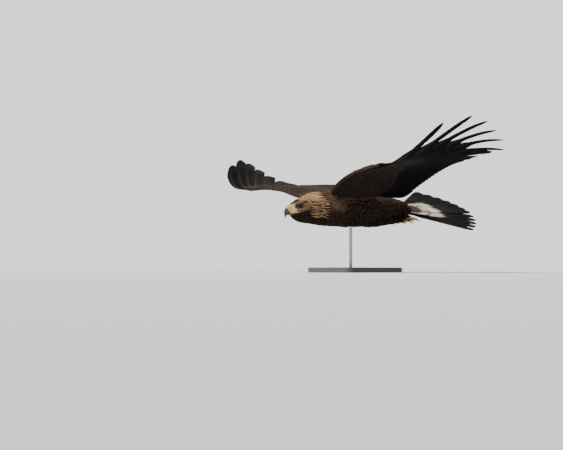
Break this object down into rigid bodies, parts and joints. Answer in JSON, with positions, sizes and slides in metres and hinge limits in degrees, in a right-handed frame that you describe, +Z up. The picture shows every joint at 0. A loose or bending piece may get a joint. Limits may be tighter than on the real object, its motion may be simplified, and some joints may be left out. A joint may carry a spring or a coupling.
{
  "type": "golden eagle model",
  "caption": "Life-size golden eagle gliding on spread wings, with feathered wings and fanned tail, on a plain display stand.",
  "frame": {"origin": "centre of the stand base's underside", "axes": "the eagle faces -Y with its left wing towards +X; +Z is up"},
  "size_m": [1.8954, 0.8496, 0.6244],
  "materials": {
    "plumage": "matt feathers, dark brown",
    "nape": "matt feathers, golden brown",
    "flight": "satin feathers, blackish brown",
    "tail": "satin feathers, white with a dark band",
    "cere": "smooth waxy skin, yellow",
    "horn": "polished dark horn",
    "eye": "glossy dark brown",
    "toe": "scaly skin, yellow",
    "base": "satin dark grey",
    "rod": "brushed"
  },
  "bodies": {
    "root": {"head": "nape", "cere": "cere", "bill_upper": "horn", "bill_lower": "horn", "neck": "nape", "torso": "plumage", "tail": "tail", "wing_left_arm": "flight", "wing_left_hand": "flight", "wing_right_arm": "flight", "wing_right_hand": "flight", "eye_left": "eye", "eye_right": "eye", "leg_left": "plumage", "leg_right": "plumage", "foot_left": "toe", "foot_right": "toe", "talon_left_inner": "horn", "talon_left_middle": "horn", "talon_left_outer": "horn", "talon_left_hind": "horn", "talon_right_inner": "horn", "talon_right_middle": "horn", "talon_right_outer": "horn", "talon_right_hind": "horn", "stand_base": "base", "stand_rod": "rod"}
  },
  "joints": []
}
